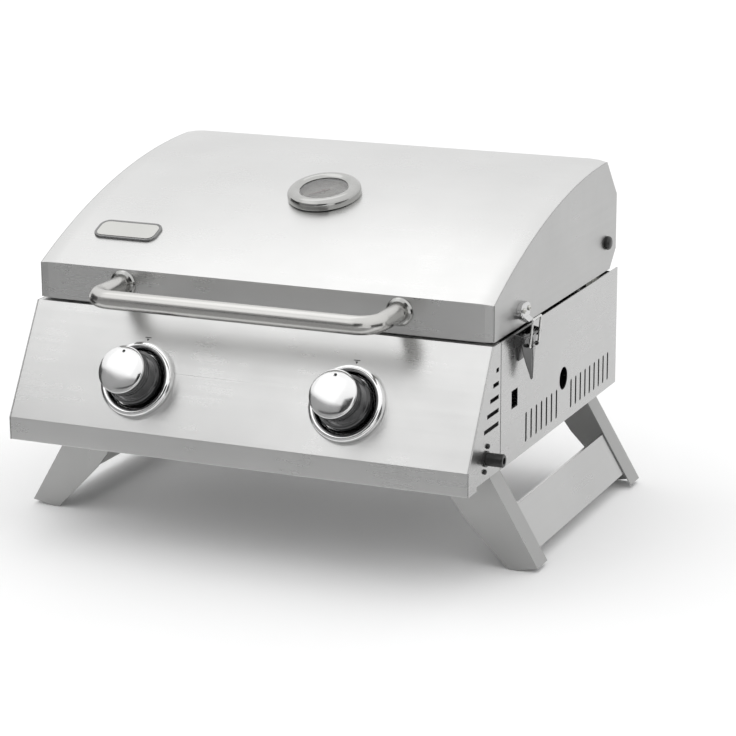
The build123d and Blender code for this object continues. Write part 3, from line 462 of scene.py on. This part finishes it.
def panel_mark(side):
    """Small printed pointer on the panel above a knob."""
    origin, axis = joint(f"knob_turn_{side}")
    radius, low, _ = reach(f"knob_bezel_{side}", origin, axis)
    plane = plane_at(origin, axis)
    build = bmesh.new()
    tip = radius + 0.0022
    arrow = [(0, tip), (0.0016, tip + 0.0026), (-0.0016, tip + 0.0026)]
    bar = [(-0.0034, tip + 0.0034), (0.0034, tip + 0.0034), (0.0034, tip + 0.0042), (-0.0034, tip + 0.0042)]
    for outline in (arrow, bar):
        add_prism(build, plane, outline, low, low + PRINT_THICKNESS)
    finish_piece(build, f"panel_mark_{side}", "base", "fitting_black")


# ---- thermometer ----
def gauge_ring():
    """Thick chrome ring of the thermometer, sloping in to its deep-set dial."""
    origin, axis = joint("gauge_pointer_turn")
    radius, low, high = reach("gauge_bezel", origin, axis)
    tall = high - low
    seat = low + tall * 0.74
    inner = radius - 0.0137
    bore = radius - 0.0109
    outside = [(bore, low), (radius, low), (radius, low + tall * 0.5), (radius - 0.0009, low + tall * 0.72)]
    crest = [(radius - 0.0034, low + tall * 0.93), (radius - 0.0064, high),
             (radius - 0.0096, low + tall * 0.98)]
    inside = [(inner + 0.0012, low + tall * 0.86), (inner, seat + 0.0004), (inner, seat), (bore, seat),
              (bore, low)]
    build = bmesh.new()
    add_lathe(build, plane_at(origin, axis), soften(outside + crest + inside, 0.0012, 6), 160)
    # The ring gets the darkened chrome, painted shade for its dark bands.
    finish_piece(build, "gauge_ring", "lid", "bright_chrome", ["gauge_bezel"], 55, "gauge_chrome")


def gauge_face():
    """Dial disc with its scale: fine and coarse ticks and plain numbers."""
    origin, axis = joint("gauge_pointer_turn")
    radius, low, high = reach("gauge_dial", origin, axis)
    plane = plane_at(origin, axis)
    build = bmesh.new()
    hole, top = 0.0024, high - 0.0001
    add_lathe(build, plane, [(hole, low), (radius, low), (radius, top), (hole, top), (hole, low)], 128)
    finish_piece(build, "gauge_face", "lid", "dial_face", ["gauge_dial"])
    build = bmesh.new()
    count = 54
    for index in range(count + 1):
        angle = radians(225 - 270 * index / count)
        long = index % 9 == 0
        turn = plane @ Matrix.Rotation(angle, 4, "Z")
        inner = radius * (0.72 if long else 0.80)
        half = 0.00035 if long else 0.00018
        outer = radius * 0.88
        add_prism(build, turn, [(inner, -half), (outer, -half), (outer, half), (inner, half)], top, high)
    for number in range(7):
        angle = radians(225 - 270 * number / 6)
        at = plane @ Matrix.Translation((radius * 0.58 * cos(angle), radius * 0.58 * sin(angle), top))
        add_text(build, at, str(50 + 50 * number), radius * 0.155)
    finish_piece(build, "gauge_scale", "lid", "dial_face", material="dial_print")


def add_text(build, at, words, size):
    """Raised digits, centred on a point of a plane."""
    curve = bpy.data.curves.new("digits", "FONT")
    curve.body = words
    curve.size = size
    curve.align_x, curve.align_y = "CENTER", "CENTER"
    curve.extrude = 0.00005
    holder = bpy.data.objects.new("digits", curve)
    bpy.context.scene.collection.objects.link(holder)
    mesh = bpy.data.meshes.new_from_object(holder)
    mesh.transform(at @ Matrix.Translation((0, 0, 0.00005)))
    build.from_mesh(mesh)
    bpy.data.objects.remove(holder)
    bpy.data.curves.remove(curve)
    bpy.data.meshes.remove(mesh)


def rounded_box(width, height, radius, steps=8):
    """Outline of a rounded rectangle about the origin."""
    outline = []
    for quarter in range(4):
        cx = (width / 2 - radius) * (1 if quarter in (0, 3) else -1)
        cy = (height / 2 - radius) * (1 if quarter in (0, 1) else -1)
        for step in range(steps + 1):
            angle = pi / 2 * (quarter + step / steps)
            outline.append((cx + radius * cos(angle), cy + radius * sin(angle)))
    return outline


def badge():
    """Blank badge: raised dark rim round a brushed field."""
    node = NODES["nameplate"]
    centre = sum((vertex.co for vertex in node.data.vertices), Vector()) / len(node.data.vertices)
    largest = max(node.data.polygons, key=lambda face: face.area)
    axis = largest.normal if largest.normal.z > 0 else -largest.normal
    plane = plane_at(centre, axis)
    local = [plane.inverted() @ vertex.co for vertex in node.data.vertices]
    width = max(point.x for point in local) - min(point.x for point in local)
    height = max(point.y for point in local) - min(point.y for point in local)
    shift = Vector(((max(p.x for p in local) + min(p.x for p in local)) / 2,
                    (max(p.y for p in local) + min(p.y for p in local)) / 2, 0))
    plane = plane @ Matrix.Translation(shift)
    low, high = min(point.z for point in local), max(point.z for point in local)
    steps = ((0, low), (0, high - 0.0009), (0.0004, high - 0.0003), (0.0010, high), (0.0016, high - 0.0002),
             (0.0021, high - 0.0008))
    build = bmesh.new()
    rings = []
    for inset, level in steps:
        outline = rounded_box(width - 2 * inset, height - 2 * inset, 0.011 - inset)
        rings.append([build.verts.new(plane @ Vector((x, y, level))) for x, y in outline])
    for lower, upper in zip(rings, rings[1:]):
        for index in range(len(lower)):
            following = (index + 1) % len(lower)
            build.faces.new((lower[index], lower[following], upper[following], upper[index]))
    build.faces.new(rings[0][::-1])
    build.faces.new(rings[-1])
    finish_piece(build, "badge_rim", "lid", "plate_metal", ["nameplate"], material="badge_rim")
    build = bmesh.new()
    field = rounded_box(width - 0.0066, height - 0.0066, 0.0075)
    add_prism(build, plane, field, high - 0.0009, high - 0.0004)
    finish_piece(build, "badge_field", "lid", "plate_metal", ["nameplate"])


# ---- toggle latches ----
def latch_blade(side):
    """Teardrop latch lever pressed to a sharp ridge down its middle, with its pin and knuckles."""
    sign = 1 if side == "right" else -1
    node = f"latch_lever_{side}"
    pivot, _ = joint(f"latch_lever_{side}")
    bail, _ = joint(f"latch_bail_{side}")
    low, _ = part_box(node)
    middle, tip, top = pivot.y, low[2], pivot.z + 0.003
    root = abs(pivot.x) - 0.0038
    half = 0.0200
    long = top - tip
    rows, columns = 48, 48
    build = bmesh.new()
    grid = []
    for row in range(rows + 1):
        t = row / rows
        shoulder = min(1.0, 0.80 + t / 0.16 * 0.20)
        width = half * shoulder * max(0.0, 1 - max(0.0, (t - 0.16) / 0.84) ** 1.25) + 0.0006
        if t > 0.9:
            width = max(width, 0.0030 * sqrt(max(0.0, 1 - ((t - 0.9) / 0.1) ** 2)) + 0.0004)
        edge = 0.0030 + 0.0022 * max(0.0, (t - 0.35) / 0.65)
        crest = 0.0034 * sin(pi * min(1.0, 0.14 + 0.72 * t)) ** 0.7
        line = []
        for column in range(columns + 1):
            s = 2 * column / columns - 1
            swell = crest * (1 - abs(s)) ** 0.9
            groove = 0.0008 * max(0.0, 1 - abs(s) * width / 0.0010) * min(1.0, t * 4)
            x = sign * (root + min(edge + swell, 0.0064) - groove)
            line.append(build.verts.new((x, middle + s * width, top - long * t)))
        grid.append(line)
    for upper, lower in zip(grid, grid[1:]):
        for column in range(columns):
            build.faces.new((upper[column], upper[column + 1], lower[column + 1], lower[column]))
    bmesh.ops.recalc_face_normals(build, faces=build.faces)
    outward = sum(face.normal.x for face in build.faces) * sign
    bmesh.ops.solidify(build, geom=build.faces[:], thickness=0.0009 if outward > 0 else -0.0009)
    pin = plane_at(pivot, Vector((0, 1, 0)))
    add_lathe(build, pin, soften([(0, -0.0232), (0.0015, -0.0232), (0.0015, 0.0232), (0, 0.0232)], 0.0004), 32)
    for shift in (-0.0075, 0.0075):
        at = Vector((bail.x, pivot.y + shift, bail.z))
        knuckle = plane_at(at, Vector((0, 1, 0)), Vector((sign, 0, 0)))
        ring = [(0.00135, -0.0012), (0.0022, -0.0012), (0.0022, 0.0012), (0.00135, 0.0012),
                (0.00135, -0.0012)]
        add_lathe(build, knuckle, soften(ring, 0.0003), 32)
    # The blade gets the near-black chrome, a painted dark reflection and shadow.
    finish_piece(build, f"latch_blade_{side}", f"lever_{side}", "latch_chrome", [node], 30, "lever_chrome")


# ---- folded sheet edges ----
def both(*stems):
    """Names of the right and left nodes of each stem."""
    return [f"{stem}_{side}" for stem in stems for side in ("right", "left")]


BEVELLED = {
    0.0005: ["lid_cover", "control_panel", "firebox_rear", "firebox_floor", "drip_tray", "leg_brackets",
             *both("lid_end", "firebox_side", "panel_cheek", "leg_front", "leg_rear", "leg_crossbar")],
    0.0003: ["latch_keepers", "handle_rosettes", "nameplate", "hinge_arms", "hinge_bolts", "tray_rails",
             "grate_ledges", "handle_bolts", "gauge_stem", *both("latch_plate", "heat_tent")],
}


def round_edges():
    """Small rounded edges on the sheet-metal nodes, so that folds catch the light."""
    for width, names in BEVELLED.items():
        for name in names:
            node = NODES[name]
            weld = node.modifiers.new("weld", "WELD")
            weld.merge_threshold = 0.00001
            flat = node.modifiers.new("flat", "DECIMATE")
            flat.decimate_type = "DISSOLVE"
            flat.angle_limit = radians(0.5)
            bevel = node.modifiers.new("bevel", "BEVEL")
            bevel.width = width
            bevel.segments = 2
            bevel.limit_method = "ANGLE"
            bevel.angle_limit = radians(28)
            bevel.harden_normals = False
            smooth = node.modifiers.new("normals", "WEIGHTED_NORMAL")
            smooth.keep_sharp = True


# ---- studio ----
def place(data, name, at, target):
    """Links an object at a point, its -Z axis aimed at the target."""
    thing = bpy.data.objects.new(name, data)
    bpy.context.scene.collection.objects.link(thing)
    thing.location = at
    thing.rotation_euler = (Vector(target) - Vector(at)).to_track_quat("-Z", "Y").to_euler()
    return thing


def add_softbox(name, at, target, width, height, radiance):
    """Area light of a given brightness per unit area."""
    data = bpy.data.lights.new(name, "AREA")
    data.shape = "RECTANGLE"
    data.size, data.size_y = width, height
    data.energy = radiance * pi * width * height
    return place(data, name, at, target)


def add_card(name, at, target, width, height, grey):
    """Dark flag beside the set: it only shows as a reflection in the metal."""
    mesh = bpy.data.meshes.new(name)
    build = bmesh.new()
    bmesh.ops.create_grid(build, x_segments=1, y_segments=1, size=0.5)
    bmesh.ops.scale(build, vec=(width, height, 1), verts=build.verts)
    build.to_mesh(mesh)
    build.free()
    card = place(mesh, name, at, target)
    shader = Shader(name, Roughness=0.9)
    shader.set("Base Color", shader.ramp(shader.noise(3.0, 2.0), grey * 0.9, grey * 1.1))
    mesh.materials.append(shader.material)
    card.visible_camera = False
    card.visible_diffuse = False
    card.visible_shadow = False


def add_floor():
    """Wide pale floor just under the feet."""
    mesh = bpy.data.meshes.new("floor")
    build = bmesh.new()
    bmesh.ops.create_grid(build, x_segments=2, y_segments=2, size=14.0)
    build.to_mesh(mesh)
    build.free()
    floor = bpy.data.objects.new("floor", mesh)
    bpy.context.scene.collection.objects.link(floor)
    floor.location = (0, 0, -0.0002)
    shader = Shader("floor", Roughness=0.9)
    shader.bsdf.inputs["Specular IOR Level"].default_value = 0.1
    shader.set("Base Color", shader.ramp(shader.noise(2.0, 2.0), 0.90, 0.92))
    mesh.materials.append(shader.material)


def add_world():
    """Soft studio surround, even round the horizon and a little brighter overhead."""
    world = bpy.data.worlds.new("studio")
    bpy.context.scene.world = world
    world.use_nodes = True
    tree = world.node_tree
    background = tree.nodes["Background"]
    coords = tree.nodes.new("ShaderNodeTexCoord")
    split = tree.nodes.new("ShaderNodeSeparateXYZ")
    ramp = tree.nodes.new("ShaderNodeValToRGB")
    ramp.color_ramp.elements[0].position = 0.0
    ramp.color_ramp.elements[0].color = colour(HORIZON_LIGHT)
    ramp.color_ramp.elements[1].position = 0.9
    ramp.color_ramp.elements[1].color = colour(ZENITH_LIGHT)
    tree.links.new(coords.outputs["Generated"], split.inputs[0])
    tree.links.new(split.outputs["Z"], ramp.inputs["Fac"])
    tree.links.new(ramp.outputs["Color"], background.inputs["Color"])
    background.inputs["Strength"].default_value = 1.0


bpy.context.scene.view_settings.view_transform = "Standard"
add_camera()
add_world()
add_floor()
add_softbox("key", (-1.1, -1.5, 1.9), (0, 0, 0.2), 1.5, 1.1, 0.25)
add_softbox("top", (-0.75, 0.35, 2.2), (0, 0, 0.2), 1.8, 0.9, 0.45)
add_card("front_card", (-0.5, -1.15, 0.40), (0.0, -0.1, 0.25), 2.2, 0.8, 0.34)
add_card("floor_card", (-0.25, -0.80, 0.004), (-0.25, -0.80, -1.0), 2.0, 0.85, 0.34)
add_card("left_floor_card", (-0.95, 0.05, 0.004), (-0.95, 0.05, -1.0), 0.9, 0.8, 0.02)
add_card("right_card", (0.95, -0.25, 0.22), (0.25, -0.07, 0.22), 0.8, 0.42, 0.03)
add_card("left_card", (-1.30, -0.30, 0.35), (-0.25, 0.0, 0.25), 1.0, 0.7, 0.05)
add_card("knob_card", (0.26, -0.98, 0.58), (0.11, -0.19, 0.18), 0.50, 0.34, 0.02)
add_card("handle_card", (-0.35, -1.10, 0.37), (-0.35, 0.0, 0.37), 1.8, 0.12, 0.02)
paint_nodes()
round_edges()
for side in ("right", "left"):
    knob_face(side)
    knob_grip(side)
    bezel_ring(side)
    panel_mark(side)
    latch_blade(side)
gauge_ring()
gauge_face()
badge()
